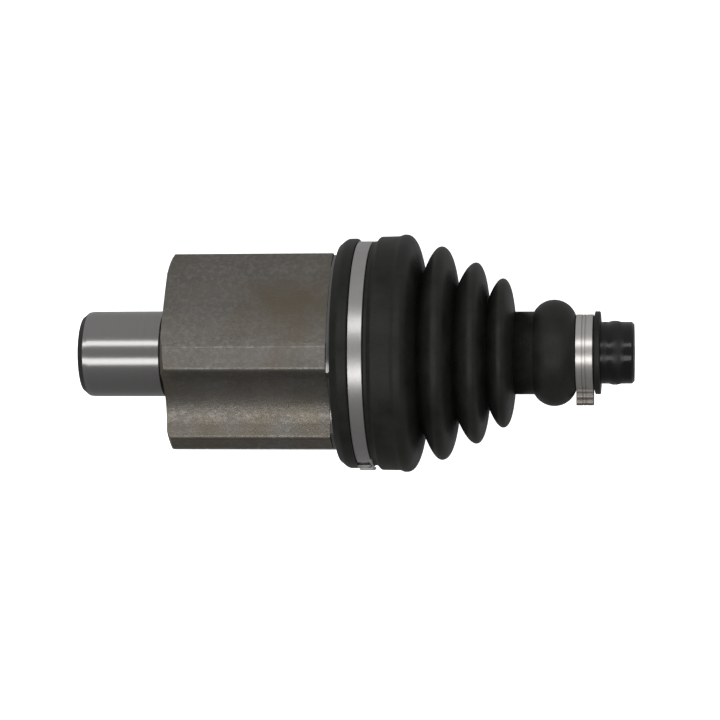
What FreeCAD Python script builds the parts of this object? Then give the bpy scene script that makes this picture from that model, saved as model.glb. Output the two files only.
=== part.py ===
"""Inboard half of a car's CV axle, in millimetres.

A forged three-lobed housing slides and bends on a tripod: a spider with three trunnions, each with
needles and a spherical roller. A rubber boot, held by a large and a small clamp, seals the housing
to the axle bar.

The frame: +X runs along the axle from the hub's end face, at the origin, towards the bar. +Z is up
for the axle as it lies, and one lobe points towards -Y.
"""

import FreeCAD
import Part
import math
import os

V = FreeCAD.Vector
AXIS = V(1, 0, 0)

# Housing: hub
HUB_RADIUS = 18.0            # ground journal that the gearbox's seal runs on
HUB_LENGTH = 35.0
HUB_NOSE_RADIUS = 15.6
HUB_CHAMFER = 2.5
HUB_LEAD_IN = 4.3
HUB_GROOVE_WIDTH = 1.2
HUB_GROOVE_DEPTH = 0.8
HUB_ROOT_RADIUS = 18.8
PILOT_RADIUS = 13.6          # smooth bore ahead of the splines
PILOT_START = 1.0
PILOT_END = 10.0
SPLINE_TEETH = 27
SPLINE_INNER = 12.4
SPLINE_OUTER = 13.5
SPLINE_END = 46.0
PLUG_RADIUS = 15.0
PLUG_LENGTH = 5.0
PLUG_WALL = 1.2

# Housing: three lobes
LOBE_TURNS = (-90, 30, 150)  # degrees from +Z towards +Y
BODY_START = 40.5
MOUTH = 128.0
CAVITY_FLOOR = 52.0
ROOF_APEX = 41.5             # where the roof's two end tangents would meet
ROOF_ROUND = 174.0
ROOF_EDGE = 39.3
ROOF_HALF_WIDTH = 19.7
CORNER_OUT = 35.1
CORNER_SIDE = 28.2
CORNER_ROUND = 2.2
VALLEY_ROUND = 22.4
SEAT_START = 108.6           # the corners are turned round from here for the boot
SEAT_RADIUS = 43.8
SEAT_GROOVE_RADIUS = 43.3
SEAT_GROOVE_END = 109.8
TRACK_RADIUS = 18.7
TRACK_CENTRE = 25.5
TRACK_ROOF = 35.3
CORE_RADIUS = 24.0
MOUTH_RING_X = 125.2
MOUTH_RING_RADIUS = 26.0
MOUTH_RING_WIRE = 1.2

# Tripod
SPIDER_X = 90.0
SPIDER_HALF_LENGTH = 12.0
SPIDER_RADIUS = 18.6
TRUNNION_RADIUS = 9.0
TRUNNION_TIP = 33.8
ROLLER_RADIUS = 18.0
ROLLER_HALF_WIDTH = 5.3
ROLLER_BORE = 11.46
NEEDLE_RADIUS = 1.2
NEEDLE_CIRCLE = 10.23
NEEDLE_COUNT = 26
NEEDLE_HALF_LENGTH = 5.2
WASHER_START = 31.0
WASHER_THICKNESS = 0.8
SNAP_RING_START = 32.0
SNAP_RING_THICKNESS = 1.0
RING_GAP_TURN = 320          # degrees of a full turn that an open ring covers

# Axle bar
BAR_START = 74.0
BAR_END = 232.4
BAR_SPLINE_END = 106.0
BAR_TEETH = 24
BAR_SPLINE_INNER = 10.8
BAR_SPLINE_OUTER = 11.6
BAR_NECK_RADIUS = 10.5
BAR_RADIUS = 12.9
BAR_CLIP_THICKNESS = 1.5
BAR_RIDGE_X = 224.3
BAR_RIDGE_RADIUS = 13.35

# Boot
BOOT_START = 110.3
BOOT_END = 218.5
BOOT_SEAT_RADIUS = 44.9
CUFF_RADIUS = 48.2
CUFF_SHOULDER_RADIUS = 48.95
CUFF_RIDGE = (137.8, 49.75)
FOLD_TURNS = ((144.8, 33.5), (152.35, 44.7), (158.9, 28.0), (166.7, 37.9), (171.8, 22.8), (177.9, 31.2))
FOLD_WALL = 2.6              # at the peaks and valleys
RISE_LEVEL = (0.04, 0.50)    # a fold rises steeply and rounds off to its peak
FALL_LEVEL = (0.88, 0.10)    # then it is shouldered and falls steeply
INNER_LEVEL = (0.40, 0.40)
NECK_START = 182.8
NECK_RADIUS = 17.3
BULB_CENTRE = (199.2, 12.7)
BULB_ROUND = 9.5
BOOT_SPLITS = (144.8, 158.9, 182.8)

# Clamps
LARGE_BAND_START = 117.9
LARGE_BAND_WIDTH = 5.9
LARGE_BAND_RADIUS = 46.2
SMALL_BAND_START = 208.4
SMALL_BAND_WIDTH = 7.2
SMALL_BAND_RADIUS = 15.2
BAND_THICKNESS = 0.8
EAR_HEIGHT = 21.6
EAR_HALF_ANGLE = 15


def rounded_edges(points, place, closed=True):
    """Straight edges through points (a, b, round), each corner rounded to its own radius."""
    count = len(points)
    corners = []
    for index, (a, b, radius) in enumerate(points):
        here = place(a, b)
        if radius <= 0:
            corners.append((here, here, here))
            continue
        back = (place(*points[index - 1][:2]) - here).normalize()
        ahead = (place(*points[(index + 1) % count][:2]) - here).normalize()
        half = back.getAngle(ahead) / 2
        reach = radius / math.tan(half)
        middle = here + (back + ahead).normalize() * (radius / math.sin(half) - radius)
        corners.append((here + back * reach, middle, here + ahead * reach))
    edges = []
    for index, (start, middle, end) in enumerate(corners):
        if start != end:
            edges.append(Part.Arc(start, middle, end).toShape())
        if index + 1 < count or closed:
            following = corners[(index + 1) % count][0]
            if end.distanceToPoint(following) > 1e-6:
                edges.append(Part.LineSegment(end, following).toShape())
    return edges


def beside_axis(along, radius):
    """A point of a turned outline: so far along the axis, so far from it."""
    return V(along, radius, 0)


def turned(points, sweep=360):
    """A solid turned about the X axis from a closed outline of (x, radius, round) points."""
    face = Part.Face(Part.Wire(rounded_edges(points, beside_axis)))
    return face.revolve(V(0, 0, 0), AXIS, sweep)


def disc(start, end, radius, bore=0.0):
    """A cylinder or, with a bore, a ring, between two places on the X axis."""
    solid = Part.makeCylinder(radius, end - start, V(start, 0, 0), AXIS)
    if bore:
        solid = solid.cut(Part.makeCylinder(bore, end - start, V(start, 0, 0), AXIS))
    return solid


def open_ring(start, thickness, inner, outer):
    """A flat ring with a gap, as a snap ring has."""
    end = start + thickness
    points = [(start, inner, 0), (start, outer, 0.2), (end, outer, 0.2), (end, inner, 0)]
    return turned(points, RING_GAP_TURN)


def toothed(count, root, tip, start, end):
    """A bar with straight-flanked teeth along it: the outline steps between root and tip."""
    step = 2 * math.pi / count
    corners = []
    for tooth in range(count):
        for radius, share in ((root, -0.32), (tip, -0.17), (tip, 0.17), (root, 0.32)):
            angle = (tooth + share) * step
            corners.append(V(start, radius * math.sin(angle), radius * math.cos(angle)))
    corners.append(corners[0])
    return Part.Face(Part.makePolygon(corners)).extrude(V(end - start, 0, 0))


def lobe_direction(turn):
    """The unit vector that points out along a lobe."""
    angle = math.radians(turn)
    return V(0, math.sin(angle), math.cos(angle))


def along_lobe(shape, turn):
    """Turns a shape made about the X axis to stand on the spider's centre along a lobe."""
    placed = shape.copy()
    rotation = FreeCAD.Rotation(AXIS, lobe_direction(turn))
    placed.Placement = FreeCAD.Placement(V(SPIDER_X, 0, 0), rotation)
    return placed


def lobed_bar(start, end):
    """The housing's cross-section drawn along X: three roofs, their corners and the valleys."""
    valley_out = CORNER_SIDE / math.tan(math.radians(60))
    points = []
    for turn in LOBE_TURNS:
        out_y, out_z = lobe_direction(turn).y, lobe_direction(turn).z
        outline = (
            (CORNER_OUT, -CORNER_SIDE, CORNER_ROUND),
            (ROOF_EDGE, -ROOF_HALF_WIDTH, 1.6),
            (ROOF_APEX, 0.0, ROOF_ROUND),
            (ROOF_EDGE, ROOF_HALF_WIDTH, 1.6),
            (CORNER_OUT, CORNER_SIDE, CORNER_ROUND),
            (valley_out, CORNER_SIDE, VALLEY_ROUND),
        )
        for out, side, radius in outline:
            points.append((out * out_y + side * out_z, out * out_z - side * out_y, radius))
    section = Part.Wire(rounded_edges(points, lambda y, z: V(start, y, z)))
    return Part.Face(section).extrude(V(end - start, 0, 0))


def track_space(start, end):
    """The hollow that the tripod runs in: a round core and three tracks with flat roofs."""
    space = disc(start, end, CORE_RADIUS)
    for turn in LOBE_TURNS:
        centre = lobe_direction(turn) * TRACK_CENTRE + V(start, 0, 0)
        track = Part.makeCylinder(TRACK_RADIUS, end - start, centre, AXIS)
        below_roof = Part.makeBox(end - start, 120, 60 + TRACK_ROOF, V(0, -60, -60))
        below_roof.rotate(V(0, 0, 0), AXIS, -turn)
        below_roof.translate(V(start, 0, 0))
        space = space.fuse(track.common(below_roof))
    return space


def tulip_housing():
    """Hub and three-lobed body in one forging, with its splined bore, tracks and turned seat."""
    envelope = turned([
        (BODY_START, 0, 0), (BODY_START, 42.6, 0), (BODY_START + 2.2, 45.6, 0),
        (SEAT_START, 45.6, 0), (SEAT_START, SEAT_GROOVE_RADIUS, 0.3),
        (SEAT_GROOVE_END, SEAT_GROOVE_RADIUS, 0.2), (SEAT_GROOVE_END, SEAT_RADIUS, 0),
        (MOUTH - 0.8, SEAT_RADIUS, 0), (MOUTH, SEAT_RADIUS - 0.8, 0), (MOUTH, 0, 0),
    ])
    groove_radius = HUB_RADIUS - HUB_GROOVE_DEPTH
    groove_end = HUB_LENGTH + HUB_GROOVE_WIDTH
    hub = turned([
        (0, 0, 0), (0, HUB_NOSE_RADIUS, 0.4), (HUB_CHAMFER, HUB_RADIUS - 0.3, 0.6),
        (HUB_LEAD_IN, HUB_RADIUS, 0), (HUB_LENGTH, HUB_RADIUS, 0.25), (HUB_LENGTH, groove_radius, 0.2),
        (groove_end, groove_radius, 0.2), (groove_end, HUB_ROOT_RADIUS, 0.4),
        (BODY_START, HUB_ROOT_RADIUS, 2.6), (BODY_START, CORE_RADIUS, 0),
        (BODY_START + 5, CORE_RADIUS, 0), (BODY_START + 5, 0, 0),
    ])
    body = lobed_bar(BODY_START, MOUTH).common(envelope).fuse(hub)
    body = body.cut(track_space(CAVITY_FLOOR, MOUTH + 1))
    body = body.cut(turned([
        (-1, 0, 0), (-1, PILOT_RADIUS + 2, 0), (PILOT_START, PILOT_RADIUS, 0),
        (PILOT_END, PILOT_RADIUS, 0), (PILOT_END + 1, SPLINE_INNER, 0), (PILOT_END + 1, 0, 0),
    ]))
    body = body.cut(toothed(SPLINE_TEETH, SPLINE_INNER, SPLINE_OUTER, PILOT_END, SPLINE_END + 1))
    body = body.cut(disc(SPLINE_END, CAVITY_FLOOR + 1, PLUG_RADIUS))
    mouth_chamfer = turned([
        (MOUTH - 1.4, 0, 0), (MOUTH - 1.4, CORE_RADIUS, 0), (MOUTH + 1, CORE_RADIUS + 2.4, 0),
        (MOUTH + 1, 0, 0),
    ])
    half_groove = MOUTH_RING_WIRE + 0.1
    ring_groove = disc(MOUTH_RING_X - half_groove, MOUTH_RING_X + half_groove, MOUTH_RING_RADIUS + 1.4)
    return body.cut(mouth_chamfer).cut(ring_groove).removeSplitter()


def bore_plug():
    """Pressed cup that keeps the joint's grease out of the splines."""
    start = SPLINE_END
    end = start + PLUG_LENGTH
    inner = PLUG_RADIUS - PLUG_WALL
    return turned([
        (start, 0, 0), (start, PLUG_RADIUS, 0.9), (end, PLUG_RADIUS, 0), (end, inner, 0),
        (start + PLUG_WALL, inner, 0.5), (start + PLUG_WALL, 0, 0),
    ])


def mouth_ring():
    """Open wire ring that stops the rollers at the housing's mouth."""
    centre = V(MOUTH_RING_X, 0, 0)
    return Part.makeTorus(MOUTH_RING_RADIUS, MOUTH_RING_WIRE, centre, AXIS, 0, 360, 335)


def lobe_adapter():
    """Rubber ring that fills the valleys, so that the round boot seals on the lobed housing."""
    ring = disc(BOOT_START + 0.6, MOUTH - 0.6, BOOT_SEAT_RADIUS)
    seat = disc(BOOT_START, MOUTH, SEAT_RADIUS)
    return ring.cut(lobed_bar(BOOT_START, MOUTH).common(seat))


def spider():
    """Three trunnions on a splined ring."""
    start = SPIDER_X - SPIDER_HALF_LENGTH
    end = SPIDER_X + SPIDER_HALF_LENGTH
    body = turned([
        (start, 0, 0), (start, SPIDER_RADIUS - 3, 0), (start + 3, SPIDER_RADIUS, 1.5),
        (end - 3, SPIDER_RADIUS, 1.5), (end, SPIDER_RADIUS - 3, 0), (end, 0, 0),
    ])
    groove_start = SNAP_RING_START - 0.05
    groove_end = SNAP_RING_START + SNAP_RING_THICKNESS + 0.05
    trunnion = turned([
        (0, 0, 0), (0, TRUNNION_RADIUS, 0), (groove_start, TRUNNION_RADIUS, 0), (groove_start, 8.2, 0),
        (groove_end, 8.2, 0), (groove_end, TRUNNION_RADIUS, 0), (TRUNNION_TIP - 0.4, TRUNNION_RADIUS, 0),
        (TRUNNION_TIP, 8.4, 0), (TRUNNION_TIP, 0, 0),
    ])
    for turn in LOBE_TURNS:
        body = body.fuse(along_lobe(trunnion, turn))
    return body.cut(toothed(BAR_TEETH, BAR_SPLINE_INNER + 0.05, BAR_SPLINE_OUTER + 0.05, start - 1, end + 1))


def roller(turn):
    """Ring with a spherical outside, for one track."""
    low = TRACK_CENTRE - ROLLER_HALF_WIDTH
    high = TRACK_CENTRE + ROLLER_HALF_WIDTH
    rim = math.sqrt(ROLLER_RADIUS ** 2 - ROLLER_HALF_WIDTH ** 2)
    edge = 0.5
    bore = [
        (low, rim, 0), (low, ROLLER_BORE + edge, 0), (low + edge, ROLLER_BORE, 0),
        (high - edge, ROLLER_BORE, 0), (high, ROLLER_BORE + edge, 0), (high, rim, 0),
    ]
    crown = Part.Arc(beside_axis(high, rim), beside_axis(TRACK_CENTRE, ROLLER_RADIUS), beside_axis(low, rim))
    line = Part.Wire(rounded_edges(bore, beside_axis, closed=False) + [crown.toShape()])
    return along_lobe(Part.Face(line).revolve(V(0, 0, 0), AXIS, 360), turn)


def needle_set(turn):
    """The ring of loose needles between one trunnion and its roller."""
    needles = []
    for index in range(NEEDLE_COUNT):
        angle = 2 * math.pi * index / NEEDLE_COUNT
        across, up = NEEDLE_CIRCLE * math.cos(angle), NEEDLE_CIRCLE * math.sin(angle)
        place = V(TRACK_CENTRE - NEEDLE_HALF_LENGTH, across, up)
        needles.append(Part.makeCylinder(NEEDLE_RADIUS, 2 * NEEDLE_HALF_LENGTH, place, AXIS))
    return along_lobe(Part.makeCompound(needles), turn)


def thrust_washer(turn):
    """Flat washer that keeps the needles and the roller on a trunnion."""
    return along_lobe(disc(WASHER_START, WASHER_START + WASHER_THICKNESS, 13.5, TRUNNION_RADIUS + 0.1), turn)


def snap_ring(turn):
    """Open ring in a trunnion's groove, outside the washer."""
    return along_lobe(open_ring(SNAP_RING_START, SNAP_RING_THICKNESS, 8.25, 10.6), turn)


def clip_start(outer_end):
    """Where a bar circlip lies: just outside one end face of the spider."""
    gap = 0.15
    if outer_end:
        return SPIDER_X + SPIDER_HALF_LENGTH + gap
    return SPIDER_X - SPIDER_HALF_LENGTH - gap - BAR_CLIP_THICKNESS


def axle_bar():
    """Solid bar: splined inner end, slim neck, full-size boot seat, ring ridge, centred end face."""
    splines = toothed(BAR_TEETH, BAR_SPLINE_INNER, BAR_SPLINE_OUTER, BAR_START, BAR_SPLINE_END)
    nose = turned([
        (BAR_START, 0, 0), (BAR_START, BAR_SPLINE_INNER - 1, 0), (BAR_START + 2, BAR_SPLINE_OUTER + 0.5, 0),
        (BAR_SPLINE_END, BAR_SPLINE_OUTER + 0.5, 0), (BAR_SPLINE_END, 0, 0),
    ])
    hole = turned([
        (BAR_END - 7, 0, 0), (BAR_END - 6, 1.5, 0), (BAR_END - 3, 1.5, 0), (BAR_END + 0.2, 3.4, 0),
        (BAR_END + 0.2, 0, 0),
    ])
    seat_start = 199.0
    shank = turned([
        (BAR_SPLINE_END, 0, 0), (BAR_SPLINE_END, BAR_NECK_RADIUS, 0), (seat_start - 6, BAR_NECK_RADIUS, 6),
        (seat_start, BAR_RADIUS, 3), (BAR_RIDGE_X - 2.6, BAR_RADIUS, 1.5),
        (BAR_RIDGE_X - 0.9, BAR_RIDGE_RADIUS, 1.5), (BAR_RIDGE_X + 0.9, BAR_RIDGE_RADIUS, 1.5),
        (BAR_RIDGE_X + 2.6, BAR_RADIUS, 1.5),
        (BAR_END - 1, BAR_RADIUS, 0), (BAR_END, BAR_RADIUS - 1, 0), (BAR_END, 0, 0),
    ])
    bar = splines.common(nose).fuse(shank).cut(hole)
    for outer_end in (False, True):
        start = clip_start(outer_end)
        bar = bar.cut(disc(start - 0.05, start + BAR_CLIP_THICKNESS + 0.05, BAR_SPLINE_OUTER + 1, 10.0))
    return bar


def bar_clip(outer_end):
    """Circlip that holds the spider on the bar."""
    return open_ring(clip_start(outer_end), BAR_CLIP_THICKNESS, 10.05, 13.2)


def ess_curves(turns, rise, fall):
    """Smooth curves from one turning point (x, radius) to the next, level at each.

    A rise and a fall each give how long the curve stays level as it leaves and as it arrives, in
    shares of the run.
    """
    edges = []
    for (x_from, r_from), (x_to, r_to) in zip(turns, turns[1:]):
        leave, arrive = rise if r_to > r_from else fall
        run = x_to - x_from
        curve = Part.BezierCurve()
        places = ((x_from, r_from), (x_from + leave * run, r_from), (x_to - arrive * run, r_to), (x_to, r_to))
        curve.setPoles([beside_axis(*place) for place in places])
        edges.append(curve.toShape())
    return edges


def bulb_arc(radius, low_left, low_right):
    """The bulb's round top: an arc about its centre that comes down to one radius on each side."""
    centre_x, centre_r = BULB_CENTRE
    left = centre_x - math.sqrt(radius ** 2 - (low_left - centre_r) ** 2)
    right = centre_x + math.sqrt(radius ** 2 - (low_right - centre_r) ** 2)
    ends = beside_axis(left, low_left), beside_axis(right, low_right)
    return ends, Part.Arc(ends[0], beside_axis(centre_x, centre_r + radius), ends[1]).toShape()


def boot():
    """The whole boot: cuff, four folds, neck, bulb and seat, turned from an outer and an inner line."""
    groove_end = LARGE_BAND_START + LARGE_BAND_WIDTH + 0.2
    band_end = SMALL_BAND_START + SMALL_BAND_WIDTH + 0.2
    inner_neck_radius = NECK_RADIUS - FOLD_WALL
    bore = BAR_RADIUS + 0.03
    outer = [CUFF_RIDGE, *FOLD_TURNS, (NECK_START, NECK_RADIUS)]
    inside = [(x, r - FOLD_WALL) for x, r in outer]
    (bulb_start, bulb_end), bulb = bulb_arc(BULB_ROUND, NECK_RADIUS, SMALL_BAND_RADIUS)
    (hollow_start, hollow_end), hollow = bulb_arc(BULB_ROUND - FOLD_WALL, inner_neck_radius, bore)
    cuff = [
        (BOOT_START, BOOT_SEAT_RADIUS, 0), (BOOT_START, 45.6, 0.6), (BOOT_START + 3.2, CUFF_RADIUS, 3.2),
        (LARGE_BAND_START - 0.3, CUFF_RADIUS, 0.8), (LARGE_BAND_START - 0.2, LARGE_BAND_RADIUS, 0.2),
        (groove_end, LARGE_BAND_RADIUS, 0.2), (groove_end + 0.3, 47.0, 0.3), (groove_end + 1.6, 47.0, 0.8),
        (127.3, CUFF_SHOULDER_RADIUS, 1.2), (135.0, CUFF_SHOULDER_RADIUS + 0.1, 1.5),
        (CUFF_RIDGE[0] - 1.0, CUFF_RIDGE[1], 0.8), (*CUFF_RIDGE, 0),
    ]
    seat = [
        (bulb_end.x, SMALL_BAND_RADIUS, 0), (band_end, SMALL_BAND_RADIUS, 0.2),
        (band_end + 0.5, NECK_RADIUS, 0.4), (BOOT_END, NECK_RADIUS, 0.5), (BOOT_END, bore, 0),
        (hollow_end.x, bore, 0),
    ]
    front = [
        (CUFF_RIDGE[0], CUFF_RIDGE[1] - FOLD_WALL, 0), (130.5, CUFF_RIDGE[1] - FOLD_WALL, 1.0),
        (129.0, BOOT_SEAT_RADIUS, 1.0), (BOOT_START, BOOT_SEAT_RADIUS, 0),
    ]
    outer_neck = Part.LineSegment(beside_axis(NECK_START, NECK_RADIUS), bulb_start)
    inner_neck = Part.LineSegment(beside_axis(NECK_START, inner_neck_radius), hollow_start)
    edges = rounded_edges(cuff, beside_axis, closed=False) + ess_curves(outer, RISE_LEVEL, FALL_LEVEL)
    edges += [outer_neck.toShape(), bulb]
    edges += rounded_edges(seat, beside_axis, closed=False) + [hollow, inner_neck.toShape()]
    edges += ess_curves(inside, INNER_LEVEL, INNER_LEVEL) + rounded_edges(front, beside_axis, closed=False)
    line = Part.Wire(Part.__sortEdges__(edges))
    return Part.Face(line).revolve(V(0, 0, 0), AXIS, 360)


def boot_sections():
    """The boot cut at the bottoms of two folds and at its neck, because each section follows another body."""
    whole = boot()
    names = ("boot_cuff", "boot_first_fold", "boot_end_folds", "boot_neck")
    limits = (BOOT_START - 1, *BOOT_SPLITS, BOOT_END + 1)
    return {name: whole.common(disc(low, high, 60)) for name, low, high in zip(names, limits, limits[1:])}


def band_arc(start, width, inner, thickness, turn, half_angle):
    """A strip bent round the axis, its middle at turn degrees from +Z towards +Y."""
    points = [
        (start, inner, 0), (start, inner + thickness, 0.15), (start + width, inner + thickness, 0.15),
        (start + width, inner, 0),
    ]
    strip = turned(points, 2 * half_angle)
    strip.rotate(V(0, 0, 0), AXIS, 90 - turn - half_angle)
    return strip


def large_clamp():
    """Low-profile band clamp: one turn of strip, with a lapped end, a hook block and a side wing at -Y."""
    ring_radius = LARGE_BAND_RADIUS + BAND_THICKNESS
    band_end = LARGE_BAND_START + LARGE_BAND_WIDTH
    clamp = disc(LARGE_BAND_START, band_end, ring_radius, LARGE_BAND_RADIUS)
    clamp = clamp.fuse(band_arc(LARGE_BAND_START, LARGE_BAND_WIDTH, ring_radius - 0.05, 0.7, -93, 15))
    hook = band_arc(LARGE_BAND_START + 0.2, LARGE_BAND_WIDTH - 0.4, ring_radius + 0.6, 1.1, -87, 5.5)
    wing = band_arc(band_end - 1.0, 0.9, ring_radius - 0.05, 1.6, -77, 7)
    return clamp.fuse(hook).fuse(wing)


def small_clamp():
    """Ear clamp: one turn of strip with a pinched ear at the -Y side and a lapped tongue."""
    ring_radius = SMALL_BAND_RADIUS + BAND_THICKNESS
    band = disc(SMALL_BAND_START, SMALL_BAND_START + SMALL_BAND_WIDTH, ring_radius, SMALL_BAND_RADIUS)
    half_width = ring_radius * math.sin(math.radians(EAR_HALF_ANGLE))
    foot = ring_radius * math.cos(math.radians(EAR_HALF_ANGLE)) - BAND_THICKNESS
    outline = [
        (-half_width, foot, 0), (-half_width * 0.8, EAR_HEIGHT, 1.4), (half_width * 0.8, EAR_HEIGHT, 1.4),
        (half_width, foot, 0),
    ]
    wall = BAND_THICKNESS
    hollow = [
        (-half_width + wall, foot - 1, 0), (-half_width * 0.8 + wall, EAR_HEIGHT - wall, 0.7),
        (half_width * 0.8 - wall, EAR_HEIGHT - wall, 0.7), (half_width - wall, foot - 1, 0),
    ]

    def below(side, out):
        return V(SMALL_BAND_START, -out, side)

    length = V(SMALL_BAND_WIDTH, 0, 0)
    ear = Part.Face(Part.Wire(rounded_edges(outline, below))).extrude(length)
    space = Part.Face(Part.Wire(rounded_edges(hollow, below))).extrude(length)
    inside = disc(SMALL_BAND_START - 1, SMALL_BAND_START + SMALL_BAND_WIDTH + 1, SMALL_BAND_RADIUS)
    tongue = band_arc(SMALL_BAND_START + 2, 3.2, ring_radius - 0.05, 0.35, 60, 40)
    return band.fuse(ear).cut(space).fuse(tongue).cut(inside)


def build():
    """Every sub-part by its node name."""
    parts = {
        "tulip_housing": tulip_housing(),
        "bore_plug": bore_plug(),
        "mouth_ring": mouth_ring(),
        "lobe_adapter": lobe_adapter(),
        "large_clamp": large_clamp(),
        "small_clamp": small_clamp(),
        "axle_bar": axle_bar(),
        "bar_clip_inner": bar_clip(False),
        "bar_clip_outer": bar_clip(True),
        "spider": spider(),
        **boot_sections(),
    }
    for number, turn in enumerate(LOBE_TURNS, start=1):
        parts[f"roller_{number}"] = roller(turn)
        parts[f"needle_set_{number}"] = needle_set(turn)
        parts[f"thrust_washer_{number}"] = thrust_washer(turn)
        parts[f"snap_ring_{number}"] = snap_ring(turn)
    return parts


def main():
    os.makedirs("parts", exist_ok=True)
    for name, shape in build().items():
        if not shape.isValid() or shape.Volume <= 0:
            raise ValueError(f"{name} is not a valid solid")
        print(f"{name}: {len(shape.Solids)} solid(s), {shape.Volume / 1000:.1f} cm3")
        shape.exportStep(f"parts/{name}.step")


main()
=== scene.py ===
"""Looks of the inboard tripod joint: boot, clamps, finishes and the stage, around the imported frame.

Lengths here are in metres. +X runs along the axle from the hub to the bar, and +Z is up.
"""

import math

import bpy
import numpy as np
from mathutils import Matrix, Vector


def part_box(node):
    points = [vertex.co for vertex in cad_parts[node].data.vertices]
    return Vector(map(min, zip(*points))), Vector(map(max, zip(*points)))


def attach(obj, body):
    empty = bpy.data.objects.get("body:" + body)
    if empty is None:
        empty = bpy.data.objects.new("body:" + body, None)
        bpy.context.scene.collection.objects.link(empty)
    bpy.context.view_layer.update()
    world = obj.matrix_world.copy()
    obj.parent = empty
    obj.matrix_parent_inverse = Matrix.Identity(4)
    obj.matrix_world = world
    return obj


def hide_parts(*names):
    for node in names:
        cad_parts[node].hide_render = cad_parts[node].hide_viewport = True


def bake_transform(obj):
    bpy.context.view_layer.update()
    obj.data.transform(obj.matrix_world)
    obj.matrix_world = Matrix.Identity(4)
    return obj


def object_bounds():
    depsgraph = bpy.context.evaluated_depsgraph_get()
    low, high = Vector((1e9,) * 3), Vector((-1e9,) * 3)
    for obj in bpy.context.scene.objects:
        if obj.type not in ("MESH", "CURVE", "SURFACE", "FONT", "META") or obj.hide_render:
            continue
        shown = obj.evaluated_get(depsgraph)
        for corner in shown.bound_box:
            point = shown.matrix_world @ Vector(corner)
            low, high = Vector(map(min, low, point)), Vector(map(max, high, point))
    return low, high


bl_info = {
    "name": "Tripod joint looks",
    "version": (1, 0, 0),
    "blender": (4, 5, 0),
    "location": "View3D > Sidebar > Tripod joint",
    "description": "Builds the boot, clamps, finishes and stage of a tripod joint",
    "category": "Object",
}

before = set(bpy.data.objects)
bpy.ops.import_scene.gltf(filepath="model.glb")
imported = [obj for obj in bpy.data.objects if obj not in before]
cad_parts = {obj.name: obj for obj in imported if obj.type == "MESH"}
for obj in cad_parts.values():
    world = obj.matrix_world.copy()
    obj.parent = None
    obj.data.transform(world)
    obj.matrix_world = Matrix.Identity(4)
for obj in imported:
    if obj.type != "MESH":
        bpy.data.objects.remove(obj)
CAD_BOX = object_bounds()
MM = 0.001

# The boot's outer line, in millimetres: along the axle, from the axis, and the corner's round.
CUFF_LINE = (
    (110.3, 44.9, 0.0), (110.3, 45.6, 0.6), (113.5, 48.2, 3.2), (117.6, 48.2, 0.8), (117.7, 46.2, 0.2),
    (124.0, 46.2, 0.2), (124.3, 47.0, 0.3), (125.6, 47.0, 0.8), (127.3, 48.95, 1.2), (135.0, 49.05, 1.5),
    (136.8, 49.75, 0.8), (137.8, 49.75, 0.0),
)
CUFF_HOLLOW = ((110.3, 44.9, 0.0), (129.0, 44.9, 1.0), (130.5, 47.15, 1.0), (137.8, 47.15, 0.0))
FOLD_TURNS = (
    (137.8, 49.75), (144.8, 33.5), (152.35, 44.7), (158.9, 28.0),
    (166.7, 37.9), (171.8, 22.8), (177.9, 31.2), (182.8, 17.3),
)
RISE_LEVEL = (0.04, 0.50)    # a fold rises steeply and rounds off to its peak
FALL_LEVEL = (0.88, 0.10)    # then it is shouldered and falls steeply
INNER_LEVEL = (0.40, 0.40)
NECK_RADIUS = 17.3
BULB_CENTRE = (199.2, 12.7)
BULB_ROUND = 9.5
SEAT_LINE = (
    (208.2, 15.2, 0.0), (215.8, 15.2, 0.2), (216.3, 17.3, 0.4), (218.5, 17.3, 0.5), (218.5, 12.93, 0.0),
)
SPLITS = (144.8, 158.9, 182.8)
EAR_FOOT = 14.8
EAR_SIDE = (                 # half of the small clamp's ear: half its width, and how far from the axis
    (4.1, EAR_FOOT), (3.55, 15.9), (3.15, 16.8), (3.5, 18.0), (2.85, 19.2), (3.3, 20.3), (2.9, 20.95),
    (1.5, 21.1), (0.0, 20.85),
)
CAMERA_ROLL = math.radians(-0.126)


# ---------------------------------------------------------------- sizes and colours

def length(name, description, default):
    """A size in metres."""
    return bpy.props.FloatProperty(
        name=name, description=description, default=default, unit="LENGTH", precision=5)


def colour(name, description, default):
    """A colour, as linear red, green and blue."""
    return bpy.props.FloatVectorProperty(
        name=name, description=description, default=default, size=3, subtype="COLOR", min=0.0, max=1.0)


class JointSizes(bpy.types.PropertyGroup):
    """Sizes that a user would change."""

    boot_wall: length("Boot wall", "Thickness of the rubber, straight in towards the axis", 2.6 * MM)
    strip_thickness: length("Strip thickness", "Thickness of both clamps' strip", 0.8 * MM)
    ear_height: length("Ear height", "How far the small clamp's ear stands from the axis", 21.7 * MM)
    floor_size: length("Floor size", "Width of the floor", 6.0)
    camera_reach: length("Camera reach", "How far the camera is above the axle", 1.18)
    round_steps: bpy.props.IntProperty(
        name="Round steps", description="Faces round the axis on each turned piece",
        default=224, min=48, max=512)


class JointColours(bpy.types.PropertyGroup):
    """Colours that a user would change."""

    forged: colour("Forged steel", "The three-lobed body", (0.155, 0.147, 0.135))
    ground: colour("Ground steel", "Hub, rollers and other machined steel", (0.30, 0.295, 0.29))
    spring: colour("Spring steel", "Rings and circlips", (0.09, 0.09, 0.09))
    plated: colour("Plating", "The pressed plug", (0.42, 0.40, 0.34))
    large_strip: colour("Large clamp", "Satin strip of the large clamp", (0.45, 0.44, 0.435))
    small_strip: colour("Small clamp", "Bright strip of the small clamp", (0.58, 0.565, 0.545))
    rubber: colour("Rubber", "The boot", (0.0105, 0.0112, 0.0094))
    paint: colour("Paint", "The bar's black paint", (0.0022, 0.0026, 0.0022))
    floor: colour("Floor", "The stage's floor", (0.92, 0.92, 0.92))


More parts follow.
